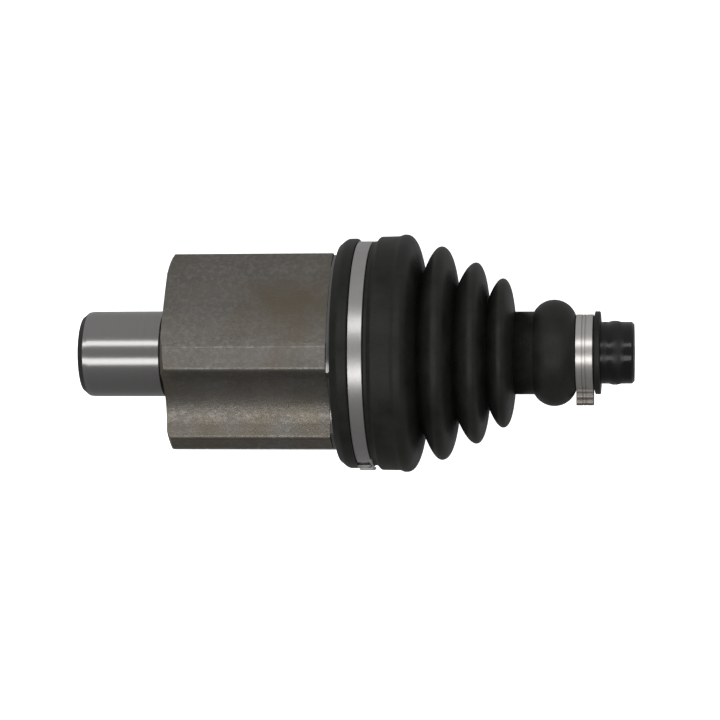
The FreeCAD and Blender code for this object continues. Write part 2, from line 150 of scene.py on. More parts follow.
# ---------------------------------------------------------------- lines and surfaces

def rounded_line(points):
    """A line through (along, out, round) points, each inner corner replaced by a circular arc.

    A corner's arc starts round / tan(half the corner's angle) before it and ends as far after it.
    """
    flat = np.array([p[:2] for p in points])
    line = [flat[:1]]
    for (_, _, radius), before, here, after in zip(points[1:-1], flat, flat[1:], flat[2:]):
        if radius <= 0:
            line.append(here[None])
            continue
        back = (before - here) / np.linalg.norm(before - here)
        ahead = (after - here) / np.linalg.norm(after - here)
        half = math.acos(np.clip(back @ ahead, -1, 1)) / 2
        longest = 0.49 * min(np.linalg.norm(before - here), np.linalg.norm(after - here))
        reach = min(radius / math.tan(half), longest)
        radius = reach * math.tan(half)
        bisector = (back + ahead) / np.linalg.norm(back + ahead)
        centre = here + bisector * radius / math.sin(half)
        spoke_in = here + back * reach - centre
        spoke_out = here + ahead * reach - centre
        share = np.linspace(0, 1, 7)[:, None]
        turn = math.pi - 2 * half
        arc = (np.sin((1 - share) * turn) * spoke_in + np.sin(share * turn) * spoke_out) / math.sin(turn)
        line.append(centre + arc)
    line.append(flat[-1:])
    return np.concatenate(line)


def ess_line(turns, rise, fall, steps=26):
    """Cubic curves from one turning point to the next, level at each for the stated shares of the run."""
    share = np.linspace(0, 1, steps)[1:, None]
    line = [np.array(turns[:1], float)]
    for start, end in zip(np.array(turns[:-1], float), np.array(turns[1:], float)):
        leave, arrive = rise if end[1] > start[1] else fall
        run = np.array((end[0] - start[0], 0.0))
        a, b = start + leave * run, end - arrive * run
        line.append((1 - share) ** 3 * start + 3 * (1 - share) ** 2 * share * a
                    + 3 * (1 - share) * share ** 2 * b + share ** 3 * end)
    return np.concatenate(line)


def arc_line(centre, radius, low_left, low_right, steps=40):
    """An arc over its centre, from one height on its left to another on its right."""
    start = math.pi - math.asin((low_left - centre[1]) / radius)
    end = math.asin((low_right - centre[1]) / radius)
    angle = np.linspace(start, end, steps)
    return np.stack((centre[0] + radius * np.cos(angle), centre[1] + radius * np.sin(angle)), axis=-1)


def smooth_through(values, share):
    """A smooth curve through evenly numbered values (Catmull and Rom's cubic), read at fractional numbers."""
    padded = np.concatenate(([2 * values[0] - values[1]], values, [2 * values[-1] - values[-2]]))
    whole = np.clip(share.astype(int), 0, len(values) - 2)
    t = share - whole
    a, b, c, d = (padded[whole + k] for k in range(4))
    square, cube = 2 * a - 5 * b + 4 * c - d, 3 * b - a - 3 * c + d
    return 0.5 * (2 * b + (c - a) * t + square * t ** 2 + cube * t ** 3)


def mesh_piece(name, points, faces, end_faces=()):
    """An object at the origin from whole arrays of points, four-cornered faces and closing triangles."""
    mesh = bpy.data.meshes.new(name)
    mesh.from_pydata(points.tolist(), [], faces.tolist() + list(end_faces))
    mesh.polygons.foreach_set("use_smooth", np.ones(len(mesh.polygons), bool))
    mesh.update()
    piece = bpy.data.objects.new(name, mesh)
    bpy.context.scene.collection.objects.link(piece)
    return piece


def grid_faces(rows, columns):
    """Faces of a grid that closes on itself both ways: a torus of rows by columns points."""
    i, j = np.meshgrid(np.arange(rows), np.arange(columns), indexing="ij")
    i_next, j_next = (i + 1) % rows, (j + 1) % columns
    corners = (i * columns + j, i_next * columns + j, i_next * columns + j_next, i * columns + j_next)
    return np.stack(corners, axis=-1).reshape(-1, 4)


def anticlockwise(loop):
    """The closed loop of flat points, turned round if its signed area is negative."""
    following = np.roll(loop, -1, axis=0)
    area = np.sum(loop[:, 0] * following[:, 1] - following[:, 0] * loop[:, 1])
    return loop if area > 0 else loop[::-1]


def turned_points(loop, columns):
    """Points of a loop (along, out) carried round the X axis: y = out cos a, z = out sin a."""
    angle = np.linspace(0, 2 * math.pi, columns, endpoint=False)
    along = np.repeat(loop[:, :1], columns, axis=1)
    return np.stack((along, loop[:, 1:] * np.cos(angle), loop[:, 1:] * np.sin(angle)), axis=-1)


def turned_piece(name, loop, columns):
    """A closed ring of any section, turned about the X axis."""
    loop = anticlockwise(loop)
    points = turned_points(loop, columns)
    return mesh_piece(name, points.reshape(-1, 3), grid_faces(len(loop), columns))


def strip_section(width, thickness, grooves=(), depth=0.0, edge=0.18 * MM):
    """A strip's section as a loop of (across, up): a rectangle with cut corners and narrow grooves on top."""
    top = [(edge, thickness)]
    for place, half in grooves:
        top += [(place - half, thickness), (place - 0.6 * half, thickness - depth),
                (place + 0.6 * half, thickness - depth), (place + half, thickness)]
    top += [(width - edge, thickness), (width, thickness - edge), (width, edge), (width - edge, 0)]
    top += [(edge, 0), (0, edge), (0, thickness - edge)]
    return np.array(top)


def strip_piece(name, path, section, start, closed):
    """A strip bent along a path of (y, z) points: each section point stands off the path by its height.

    The way out at each path point is its tangent turned by a quarter turn. The strip's width runs along X.
    """
    if closed:
        tangent = np.roll(path, -1, axis=0) - np.roll(path, 1, axis=0)
    else:
        tangent = np.gradient(path, axis=0)
    tangent /= np.linalg.norm(tangent, axis=1, keepdims=True)
    out = np.stack((tangent[:, 1], -tangent[:, 0]), axis=-1)
    flat = path[:, None] + out[:, None] * section[None, :, 1:]
    along = np.broadcast_to(start + section[None, :, 0], flat.shape[:2])
    points = np.concatenate((along[..., None], flat), axis=-1)
    rows, columns = points.shape[:2]
    faces = grid_faces(rows, columns)
    if closed:
        return mesh_piece(name, points.reshape(-1, 3), faces)
    faces = faces[: (rows - 1) * columns]
    caps = points[[0, -1]].mean(axis=1)
    every = np.concatenate((points.reshape(-1, 3), caps))
    near = np.arange(columns)
    following = (near + 1) % columns
    first, last = rows * columns, rows * columns + 1
    base = (rows - 1) * columns
    ends = [np.stack((near, following, np.full(columns, first)), -1),
            np.stack((base + following, base + near, np.full(columns, last)), -1)]
    return mesh_piece(name, every, faces, np.concatenate(ends).tolist())


def arc_path(radius, start_degrees, end_degrees, steps):
    """Points on a circle about the axis; degrees run from +Y towards +Z."""
    angle = np.radians(np.linspace(start_degrees, end_degrees, steps))
    return radius * np.stack((np.cos(angle), np.sin(angle)), axis=-1)


def sharpen(piece, degrees=32):
    """Marks the edges that are sharper than so many degrees, so that the faces beside them stay flat."""
    piece.data.set_sharp_from_angle(angle=math.radians(degrees))


# ---------------------------------------------------------------- node helpers and groups

def put(tree, kind, **values):
    """A node of that kind; values named after inputs set them, others set the node's own settings."""
    node = tree.nodes.new(kind)
    for key, value in values.items():
        if hasattr(node, key):
            setattr(node, key, value)
        else:
            node.inputs[key.replace("_", " ")].default_value = value
    return node


def join(tree, source, target):
    """Links two sockets, given as (node, socket name or number)."""
    tree.links.new(source[0].outputs[source[1]], target[0].inputs[target[1]])


def new_group(name, inputs, outputs):
    """An empty shader group with float sockets, and its input and output nodes."""
    group = bpy.data.node_groups.new(name, "ShaderNodeTree")
    for label, default in inputs:
        socket = group.interface.new_socket(label, in_out="INPUT", socket_type="NodeSocketFloat")
        socket.default_value = default
    for label in outputs:
        group.interface.new_socket(label, in_out="OUTPUT", socket_type="NodeSocketFloat")
    return group, group.nodes.new("NodeGroupInput"), group.nodes.new("NodeGroupOutput")


def scaled_place(tree, stretch=(1, 1, 1)):
    """Object coordinates, stretched."""
    place = put(tree, "ShaderNodeTexCoord")
    mapping = put(tree, "ShaderNodeMapping")
    mapping.inputs["Scale"].default_value = stretch
    join(tree, (place, "Object"), (mapping, "Vector"))
    return mapping


def mottle_group():
    """Mottle: patches, from two layers of noise, and a fine grain to raise the surface with."""
    if "mottle" in bpy.data.node_groups:
        return bpy.data.node_groups["mottle"]
    group, given, out = new_group(
        "mottle", (("Patch Scale", 60.0), ("Grain Scale", 900.0)), ("Patches", "Grain"))
    place = scaled_place(group)
    patches = put(group, "ShaderNodeTexNoise", Detail=6.0, Roughness=0.62)
    grain = put(group, "ShaderNodeTexNoise", Detail=3.0, Roughness=0.6)
    contrast = put(group, "ShaderNodeMapRange")
    contrast.inputs["From Min"].default_value = 0.32
    contrast.inputs["From Max"].default_value = 0.68
    join(group, (place, "Vector"), (patches, "Vector"))
    join(group, (place, "Vector"), (grain, "Vector"))
    join(group, (given, "Patch Scale"), (patches, "Scale"))
    join(group, (given, "Grain Scale"), (grain, "Scale"))
    join(group, (patches, "Fac"), (contrast, "Value"))
    join(group, (contrast, "Result"), (out, "Patches"))
    join(group, (grain, "Fac"), (out, "Grain"))
    return group


def streak_group():
    """Streaks: noise drawn out along one way, as rolling, grinding or die marks leave."""
    if "streaks" in bpy.data.node_groups:
        return bpy.data.node_groups["streaks"]
    group, given, out = new_group(
        "streaks", (("Along", 20.0), ("Across", 900.0)), ("Streaks", "Fine"))
    place = put(group, "ShaderNodeTexCoord")
    parts = put(group, "ShaderNodeSeparateXYZ")
    stretch = []
    for axis, rate in (("X", "Along"), ("Y", "Across"), ("Z", "Across")):
        product = put(group, "ShaderNodeMath", operation="MULTIPLY")
        join(group, (parts, axis), (product, 0))
        join(group, (given, rate), (product, 1))
        stretch.append(product)
    join(group, (place, "Object"), (parts, "Vector"))
    whole = put(group, "ShaderNodeCombineXYZ")
    for axis, product in zip("XYZ", stretch):
        join(group, (product, "Value"), (whole, axis))
    for label, detail, scale in (("Streaks", 4.0, 0.22), ("Fine", 2.0, 1.0)):
        noise = put(group, "ShaderNodeTexNoise", Detail=detail, Scale=scale)
        join(group, (whole, "Vector"), (noise, "Vector"))
        join(group, (noise, "Fac"), (out, label))
    return group


def ring_group():
    """Rings: marks that change along X only, as turning and grinding leave."""
    if "turned_rings" in bpy.data.node_groups:
        return bpy.data.node_groups["turned_rings"]
    group, given, out = new_group("turned_rings", (("Rings Per Metre", 2500.0),), ("Rings", "Broad"))
    place = put(group, "ShaderNodeTexCoord")
    parts = put(group, "ShaderNodeSeparateXYZ")
    join(group, (place, "Object"), (parts, "Vector"))
    for label, share in (("Rings", 1.0), ("Broad", 0.12)):
        rate = put(group, "ShaderNodeMath", operation="MULTIPLY")
        rate.inputs[1].default_value = share
        join(group, (given, "Rings Per Metre"), (rate, 0))
        turns = put(group, "ShaderNodeMath", operation="MULTIPLY")
        join(group, (parts, "X"), (turns, 0))
        join(group, (rate, "Value"), (turns, 1))
        noise = put(group, "ShaderNodeTexNoise", noise_dimensions="1D", Detail=2.0, Scale=1.0)
        join(group, (turns, "Value"), (noise, "W"))
        join(group, (noise, "Fac"), (out, label))
    return group


def zone_group():
    """Zone: 1 where X lies between two places, with soft ends, else 0; and the distance from the axis."""
    if "zone" in bpy.data.node_groups:
        return bpy.data.node_groups["zone"]
    group, given, out = new_group(
        "zone", (("From", 0.0), ("To", 0.1), ("Softness", 0.0002)), ("Zone", "Radius"))
    place = put(group, "ShaderNodeTexCoord")
    parts = put(group, "ShaderNodeSeparateXYZ")
    join(group, (place, "Object"), (parts, "Vector"))
    ends = []
    for edge, first, second in (("From", "X", "From"), ("To", "To", "X")):
        gap = put(group, "ShaderNodeMath", operation="SUBTRACT")
        sources = [(parts, s) if s == "X" else (given, s) for s in (first, second)]
        join(group, sources[0], (gap, 0))
        join(group, sources[1], (gap, 1))
        ramp = put(group, "ShaderNodeMath", operation="DIVIDE", use_clamp=True)
        join(group, (gap, "Value"), (ramp, 0))
        join(group, (given, "Softness"), (ramp, 1))
        ends.append(ramp)
    both = put(group, "ShaderNodeMath", operation="MULTIPLY")
    join(group, (ends[0], "Value"), (both, 0))
    join(group, (ends[1], "Value"), (both, 1))
    join(group, (both, "Value"), (out, "Zone"))
    flat = put(group, "ShaderNodeCombineXYZ")
    join(group, (parts, "Y"), (flat, "Y"))
    join(group, (parts, "Z"), (flat, "Z"))
    size = put(group, "ShaderNodeVectorMath", operation="LENGTH")
    join(group, (flat, "Vector"), (size, 0))
    join(group, (size, "Value"), (out, "Radius"))
    return group


def use_group(tree, group, **values):
    """One use of a group in a material, with its own values."""
    node = tree.nodes.new("ShaderNodeGroup")
    node.node_tree = group
    for key, value in values.items():
        node.inputs[key.replace("_", " ")].default_value = value
    return node


def mixed(tree, factor, first, second):
    """A colour mix; first and second are sockets or plain colours. Gives (node, output)."""
    node = put(tree, "ShaderNodeMix", data_type="RGBA")
    join(tree, factor, (node, 0))
    for number, given in ((6, first), (7, second)):
        if isinstance(given, tuple) and isinstance(given[0], bpy.types.Node):
            join(tree, given, (node, number))
        else:
            node.inputs[number].default_value = (*given, 1.0)
    return node, 2


def ranged(tree, source, low, high, clamp=True):
    """A value spread from low to high as its source goes from 0 to 1."""
    node = put(tree, "ShaderNodeMapRange", clamp=clamp)
    node.inputs["To Min"].default_value = low
    node.inputs["To Max"].default_value = high
    join(tree, source, (node, "Value"))
    return node, "Result"


def combined(tree, operation, first, second):
    """Two values combined; either may be a plain number."""
    node = put(tree, "ShaderNodeMath", operation=operation)
    for number, given in ((0, first), (1, second)):
        if isinstance(given, tuple):
            join(tree, given, (node, number))
        else:
            node.inputs[number].default_value = given
    return node, "Value"


def darker(tint, share):
    """A colour times a share."""
    return tuple(share * c for c in tint)


def new_material(name):
    """A material with its tree and its Principled shader."""
    material = bpy.data.materials.new(name)
    material.use_nodes = True
    tree = material.node_tree
    shader = tree.nodes["Principled BSDF"]
    return material, tree, shader


def raise_surface(tree, shader, height, strength, distance):
    """Bumps the surface by a height, so many metres deep."""
    bump = put(tree, "ShaderNodeBump", Strength=strength, Distance=distance)
    join(tree, height, (bump, "Height"))
    join(tree, (bump, "Normal"), (shader, "Normal"))


# ---------------------------------------------------------------- materials

def housing_material(colours):
    """Forged skin with die streaks, a ground hub with a black nose, painted shade in the hub's groove, and
    bright turned places.
    """
    material, tree, shader = new_material("housing_steel")
    mottle = use_group(tree, mottle_group(), Patch_Scale=55.0, Grain_Scale=1500.0)
    streaks = use_group(tree, streak_group(), Along=55.0, Across=420.0)
    rings = use_group(tree, ring_group(), Rings_Per_Metre=4200.0)
    hub = use_group(tree, zone_group(), From=2.4 * MM, To=35.1 * MM)
    nose = use_group(tree, zone_group(), From=-1.0, To=2.5 * MM)
    seat = use_group(tree, zone_group(), From=108.5 * MM, To=1.0)
    groove = use_group(tree, zone_group(), From=35.0 * MM, To=36.4 * MM)

    forged = tuple(colours.forged)
    skin = mixed(tree, (mottle, "Patches"), darker(forged, 0.93), darker(forged, 1.07))
    drawn = ranged(tree, (streaks, "Streaks"), -0.6, 1.6)
    skin = mixed(tree, drawn, skin, darker((forged[0] * 1.03, forged[1], forged[2] * 0.98), 1.15))
    specks = use_group(tree, mottle_group(), Patch_Scale=520.0, Grain_Scale=1500.0)
    speckled = ranged(tree, (specks, "Patches"), -0.75, 1.25)
    skin = mixed(tree, speckled, skin, darker(forged, 1.42))
    pits = ranged(tree, (specks, "Grain"), 9.0, -19.0)
    skin = mixed(tree, pits, skin, darker(forged, 0.30))
    oily = use_group(tree, mottle_group(), Patch_Scale=24.0, Grain_Scale=60.0)
    oiled = ranged(tree, (oily, "Patches"), -0.55, 0.85)
    skin = mixed(tree, oiled, skin, (forged[0] * 0.95, forged[1] * 0.84, forged[2] * 0.66))
    ground = mixed(tree, (rings, "Broad"), darker(colours.ground, 0.97), darker(colours.ground, 1.03))
    body = mixed(tree, (hub, "Zone"), skin, ground)
    body = mixed(tree, (seat, "Zone"), body, darker(colours.ground, 0.6))
    # painted shade: the groove at the end of the hub is coloured near black
    body = mixed(tree, (groove, "Zone"), body, (0.03, 0.028, 0.026))
    body = mixed(tree, (nose, "Zone"), body, (0.012, 0.012, 0.012))
    join(tree, body, (shader, "Base Color"))

    skin_rough = combined(tree, "ADD", ranged(tree, (mottle, "Patches"), 0.36, 0.48),
                          ranged(tree, (specks, "Patches"), 0.06, -0.08))
    bright = combined(tree, "MAXIMUM", (hub, "Zone"), (seat, "Zone"))
    bright_rough = ranged(tree, (rings, "Rings"), 0.17, 0.20)
    keep_skin = combined(tree, "MULTIPLY", skin_rough, combined(tree, "SUBTRACT", 1.0, bright))
    keep_bright = combined(tree, "MULTIPLY", bright_rough, bright)
    join(tree, combined(tree, "ADD", keep_skin, keep_bright), (shader, "Roughness"))
    metal = ranged(tree, (nose, "Zone"), 0.92, 0.25)
    join(tree, metal, (shader, "Metallic"))

    rough_height = combined(tree, "MULTIPLY_ADD", (streaks, "Fine"), 0.6)
    join(tree, (mottle, "Grain"), (rough_height[0], 2))
    skin_height = combined(tree, "MULTIPLY", rough_height, combined(tree, "SUBTRACT", 1.0, bright))
    raise_surface(tree, shader, skin_height, 0.55, 0.16 * MM)
    return material


def machined_material(name, tint, roughness, rate=6000.0):
    """Bright machined steel: fine rings, a little oil, uneven shine."""
    material, tree, shader = new_material(name)
    mottle = use_group(tree, mottle_group(), Patch_Scale=110.0, Grain_Scale=2600.0)
    rings = use_group(tree, ring_group(), Rings_Per_Metre=rate)
    tone = mixed(tree, (mottle, "Patches"), darker(tint, 0.84), darker(tint, 1.1))
    join(tree, tone, (shader, "Base Color"))
    join(tree, ranged(tree, (rings, "Rings"), roughness * 0.75, roughness * 1.3), (shader, "Roughness"))
    shader.inputs["Metallic"].default_value = 0.95
    raise_surface(tree, shader, (mottle, "Grain"), 0.25, 0.03 * MM)
    return material


def strip_material(name, tint, roughness, stain, darkened_beyond=1.0, groove_shade_lines=()):
    """Clamp strip: rolled along its length, with faint rubs and stains, and darker and rougher where it
    stands far out.

    Groove shade lines are places along X where a fine dark line of painted shade runs round the strip,
    standing in for the shade in its grooves.
    """
    material, tree, shader = new_material(name)
    mottle = use_group(tree, mottle_group(), Patch_Scale=70.0, Grain_Scale=1800.0)
    rings = use_group(tree, ring_group(), Rings_Per_Metre=3600.0)
    place = use_group(tree, zone_group(), From=-1.0, To=1.0)
    tone = mixed(tree, (rings, "Rings"), darker(tint, 0.90), darker(tint, 1.08))
    stained = ranged(tree, (mottle, "Patches"), 0.0, 0.30)
    tone = mixed(tree, stained, tone, stain)
    # darker and rougher where the strip stands far from the axis, as on the small clamp's ear
    out = combined(tree, "SUBTRACT", (place, "Radius"), darkened_beyond)
    darkened = combined(tree, "MULTIPLY", out, 1 / (0.5 * MM))
    darkened[0].use_clamp = True
    tone = mixed(tree, darkened, tone, darker(stain, 0.75))
    # painted shade: each place gets a fine dark line round the strip
    for groove_shade_line in groove_shade_lines:
        line = use_group(tree, zone_group(), From=groove_shade_line - 0.22 * MM, To=groove_shade_line + 0.22 * MM)
        tone = mixed(tree, ranged(tree, (line, "Zone"), 0.0, 0.6), tone, darker(stain, 0.2))
    join(tree, tone, (shader, "Base Color"))
    patchy = ranged(tree, (mottle, "Patches"), roughness * 0.9, roughness * 1.15)
    join(tree, combined(tree, "ADD", patchy, combined(tree, "MULTIPLY", darkened, 0.10)), (shader, "Roughness"))
    shader.inputs["Metallic"].default_value = 0.9
    raise_surface(tree, shader, (rings, "Rings"), 0.2, 0.03 * MM)
    return material


def rubber_material(name, tint, roughness):
    """Moulded rubber: satin, with a patchy bloom, fine grain and faint mould rings."""
    material, tree, shader = new_material(name)
    bloom = use_group(tree, mottle_group(), Patch_Scale=95.0, Grain_Scale=1400.0)
    rings = use_group(tree, ring_group(), Rings_Per_Metre=1500.0)
    dusty = (tint[0] * 1.8 + 0.001, tint[1] * 1.8 + 0.001, tint[2] * 1.75 + 0.001)
    join(tree, mixed(tree, (bloom, "Patches"), tint, dusty), (shader, "Base Color"))
    join(tree, ranged(tree, (bloom, "Patches"), roughness * 0.88, roughness * 1.18), (shader, "Roughness"))
    shader.inputs["Specular IOR Level"].default_value = 0.19
    height = combined(tree, "MULTIPLY_ADD", (rings, "Rings"), 0.35)
    join(tree, (bloom, "Grain"), (height[0], 2))
    raise_surface(tree, shader, height, 0.5, 0.12 * MM)
    return material


def paint_material(colours):
    """Black paint on a turned bar, shinier in some rings than in others, a little orange-peeled."""
    material, tree, shader = new_material("bar_paint")
    peel = use_group(tree, mottle_group(), Patch_Scale=160.0, Grain_Scale=520.0)
    rings = use_group(tree, ring_group(), Rings_Per_Metre=1900.0)
    tint = tuple(colours.paint)
    join(tree, mixed(tree, (peel, "Patches"), tint, darker(tint, 2.0)), (shader, "Base Color"))
    uneven = combined(tree, "ADD", ranged(tree, (peel, "Patches"), 0.0, 0.08),
                      ranged(tree, (rings, "Broad"), -0.30, 0.75, clamp=False))
    join(tree, combined(tree, "MAXIMUM", uneven, 0.13), (shader, "Roughness"))
    shader.inputs["Specular IOR Level"].default_value = 0.36
    raise_surface(tree, shader, (peel, "Grain"), 0.4, 0.10 * MM)
    return material


def floor_material(colours):
    """Pale plain floor with a very faint cloudiness, lit a little from within so that it stays white."""
    material, tree, shader = new_material("pale_floor")
    mottle = use_group(tree, mottle_group(), Patch_Scale=3.0, Grain_Scale=40.0)
    tint = tuple(colours.floor)
    join(tree, mixed(tree, (mottle, "Patches"), darker(tint, 0.985), tint), (shader, "Base Color"))
    shader.inputs["Roughness"].default_value = 0.9
    shader.inputs["Specular IOR Level"].default_value = 0.1
    shader.inputs["Emission Color"].default_value = (1, 1, 1, 1)
    shader.inputs["Emission Strength"].default_value = 0.95
    return material


def finish(piece, material):
    """Gives a piece or a CAD node one material."""
    piece.data.materials.clear()
    piece.data.materials.append(material)


# ---------------------------------------------------------------- operators

def boot_lines(wall):
    """The boot's outer and inner lines (along, out) in millimetres, from the lip to the bar.

    Both follow the same turning points; the inner line lies a wall nearer the axis, and is evenly curved.
    """
    depth = wall / MM
    outer = np.concatenate((
        rounded_line(CUFF_LINE)[:-1], ess_line(FOLD_TURNS, RISE_LEVEL, FALL_LEVEL),
        arc_line(BULB_CENTRE, BULB_ROUND, NECK_RADIUS, SEAT_LINE[0][1]), rounded_line(SEAT_LINE)[1:],
    ))
    folds = [(x, r - depth) for x, r in FOLD_TURNS]
    inner = np.concatenate((
        rounded_line(CUFF_HOLLOW)[:-1], ess_line(folds, INNER_LEVEL, INNER_LEVEL),
        arc_line(BULB_CENTRE, BULB_ROUND - depth, NECK_RADIUS - depth, SEAT_LINE[-1][1]),
    ))
    return outer, inner


class JOINT_OT_boot(bpy.types.Operator):
    """Makes the rubber boot, as four sections that meet at the bottoms of folds; the last one rides with the
    axle
    """

    bl_idname = "joint.make_boot"
    bl_label = "Boot"

    def execute(self, context):
        sizes, colours = context.scene.joint_sizes, context.scene.joint_colours
        outer, inner = boot_lines(sizes.boot_wall)
        rubber = rubber_material("boot_rubber", tuple(colours.rubber), 0.44)
        limits = (0.0, *SPLITS, 1000.0)
        spans = (("housing", "boot_front", 130.0, 144.8), ("boot_front", "boot_rear", 144.8, 158.9),
                 ("boot_rear", "axle", 158.9, 182.8), None)
        nodes = ("boot_cuff", "boot_first_fold", "boot_end_folds", "boot_neck")
        for node, span, low, high in zip(nodes, spans, limits, limits[1:]):
            outside = outer[(outer[:, 0] >= low - 1e-6) & (outer[:, 0] <= high + 1e-6)]
            inside = inner[(inner[:, 0] >= low - 1e-6) & (inner[:, 0] <= high + 1e-6)]
            loop = np.concatenate((outside, inside[::-1])) * MM
            keep = np.linalg.norm(loop - np.roll(loop, 1, axis=0), axis=1) > 1e-7
            piece = turned_piece(f"{node}_skin", loop[keep], sizes.round_steps)
            finish(piece, rubber)
            if span:
                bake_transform(piece)
            else:
                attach(piece, "axle")
            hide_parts(node)
        return {"FINISHED"}


class JOINT_OT_large_clamp(bpy.types.Operator):
    """Makes the large clamp: a closed band, a lapped end, a hook and a side wing; thin dark strips of painted
    shadow at the slot and gap, and painted highlight on the lap and hook
    """

    bl_idname = "joint.make_large_clamp"
    bl_label = "Large clamp"

    def execute(self, context):
        sizes, colours = context.scene.joint_sizes, context.scene.joint_colours
        steel = strip_material("large_clamp_strip", tuple(colours.large_strip), 0.30, (0.26, 0.25, 0.24))
        low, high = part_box("large_clamp")
        radius = 46.2 * MM
        thick = sizes.strip_thickness
        width = high.x - low.x
        steps = sizes.round_steps
        round_path = arc_path(radius, 0, 360, steps + 1)[:-1]
        closure = 180.0                                   # degrees from +Y: the -Y side
        pieces = [strip_piece("large_clamp_band", round_path, strip_section(width, thick), low.x, True)]
        # painted highlight: a lighter copy of the strip steel for the lap and hook, which face the lights
        bright = strip_material("large_clamp_painted_highlight", (0.64, 0.635, 0.62), 0.36, (0.42, 0.41, 0.40))
        # painted shadow: a near-black finish for the thin strips at the slot and the gap
        shade = strip_material("large_clamp_shade", (0.05, 0.048, 0.046), 0.6, (0.03, 0.03, 0.03))
        # slot and gap are thin dark strips laid on the band, painted shadow rather than openings; lap and
        # hook carry the painted highlight
        plates = (("slot", 0.80, 0.10, -14.5, -12.6, 0.15, 5.0), ("lap", 1.15, 0.65, -10.4, 8.0, -0.6, 5.6),
                  ("gap", 1.75, 0.14, -9.3, -8.3, 0.0, 5.0), ("hook", 1.85, 1.0, -8.0, 5.0, 0.2, 5.9))
        for name, out, high_by, first, last, shift, wide in plates:
            path = arc_path(radius + out * MM, closure + first, closure + last, 16)
            section = strip_section(wide * MM, high_by * MM, edge=0.22 * MM)
            pieces.append(strip_piece(f"large_clamp_{name}", path, section, low.x + shift * MM, False))
        bump = np.sin(np.linspace(0, math.pi, 20))[:, None]
        wing = arc_path(radius - 0.5 * MM, closure - 21, closure - 3, 20) * (1 + 0.022 * bump)
        section = strip_section(0.95 * MM, 1.5 * MM, edge=0.35 * MM)
        pieces.append(strip_piece("large_clamp_wing", wing, section, high.x - 0.25 * MM, False))
        for piece in pieces:
            sharpen(piece)
            dark = piece.name.endswith(("slot", "gap"))
            light = piece.name.endswith(("lap", "hook"))
            finish(piece, shade if dark else bright if light else steel)
            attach(piece, "housing")
            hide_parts("large_clamp")
        return {"FINISHED"}


class JOINT_OT_small_clamp(bpy.types.Operator):
    """Makes the small clamp: a band with two fine grooves, two dark lines of painted shade near them, and its
    pinched ear
    """

    bl_idname = "joint.make_small_clamp"
    bl_label = "Small clamp"

    def execute(self, context):
        sizes, colours = context.scene.joint_sizes, context.scene.joint_colours
        low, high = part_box("small_clamp")
        width = high.x - low.x
        # painted shade: two dark lines for the grooves' shade, at 0.36 and 0.55 of the width, a little off
        # the grooves at 0.40 and 0.60
        groove_shade_lines = (low.x + 0.36 * width, low.x + 0.55 * width)
        steel = strip_material(
            "small_clamp_strip", tuple(colours.small_strip), 0.31, (0.34, 0.31, 0.28), 16.5 * MM, groove_shade_lines)
        radius = 15.2 * MM
        thick = sizes.strip_thickness
        foot = 15.0                                       # degrees that the ear's feet stand each side
        ring = arc_path(radius, -180 + foot, 180 - foot, sizes.round_steps)
        top = sizes.ear_height - thick
        side = np.array(EAR_SIDE)
        side[:, 1] = EAR_FOOT + (side[:, 1] - EAR_FOOT) * (top / MM - EAR_FOOT) / 6.1
        whole = np.concatenate((side, side[-2::-1] * (-1, 1)))
        share = np.linspace(0, len(whole) - 1, 90)
        whole = np.stack([smooth_through(whole[:, k], share) for k in (0, 1)], axis=-1)
        ear = np.stack((-whole[:, 1], whole[:, 0]), axis=-1) * MM
        path = np.concatenate((ring, ear))
        grooves = ((0.40 * width, 0.22 * MM), (0.60 * width, 0.22 * MM))
        section = strip_section(width, thick, grooves, 0.22 * MM)
        band = strip_piece("small_clamp_band", path, section, low.x, True)
        sharpen(band)
        finish(band, steel)
        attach(band, "axle")
        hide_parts("small_clamp")
        return {"FINISHED"}


class JOINT_OT_finishes(bpy.types.Operator):
    """Gives every CAD node that stays in view its material"""

    bl_idname = "joint.make_finishes"
    bl_label = "Finishes"

    def execute(self, context):
        colours = context.scene.joint_colours
        ground = tuple(colours.ground)
        bearing = machined_material("bearing_steel", ground, 0.24)
        needles = machined_material("needle_steel", darker(ground, 1.15), 0.16, rate=9000.0)
        turned = machined_material("spider_steel", darker(ground, 0.8), 0.32, rate=3200.0)
        spring = machined_material("spring_steel", tuple(colours.spring), 0.38)
        plated = machined_material("plated_cup", tuple(colours.plated), 0.34, rate=2000.0)
        choice = {
            "tulip_housing": housing_material(colours),
            "axle_bar": paint_material(colours),
            "lobe_adapter": rubber_material("adapter_rubber", darker(colours.rubber, 1.3), 0.55),
            "bore_plug": plated, "spider": turned, "mouth_ring": spring,
            "bar_clip_inner": spring, "bar_clip_outer": spring,
        }
        for number in (1, 2, 3):
            choice[f"roller_{number}"] = bearing
            choice[f"needle_set_{number}"] = needles
            choice[f"thrust_washer_{number}"] = bearing
            choice[f"snap_ring_{number}"] = spring
        for name, material in choice.items():
            finish(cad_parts[name], material)
        return {"FINISHED"}


def strip_light(name, turn, reach, width, power):
    """A long soft box over the axle, its middle at turn degrees from straight up towards +Y."""
    angle = math.radians(turn)
    lamp = bpy.data.lights.new(name, "AREA")
    lamp.shape = "RECTANGLE"
    lamp.size = 2.4
    lamp.size_y = width
    lamp.energy = power
    light = bpy.data.objects.new(name, lamp)
    light.location = (0.12, reach * math.sin(angle), reach * math.cos(angle))
    light.rotation_euler = (-angle, 0, 0)
    bpy.context.scene.collection.objects.link(light)


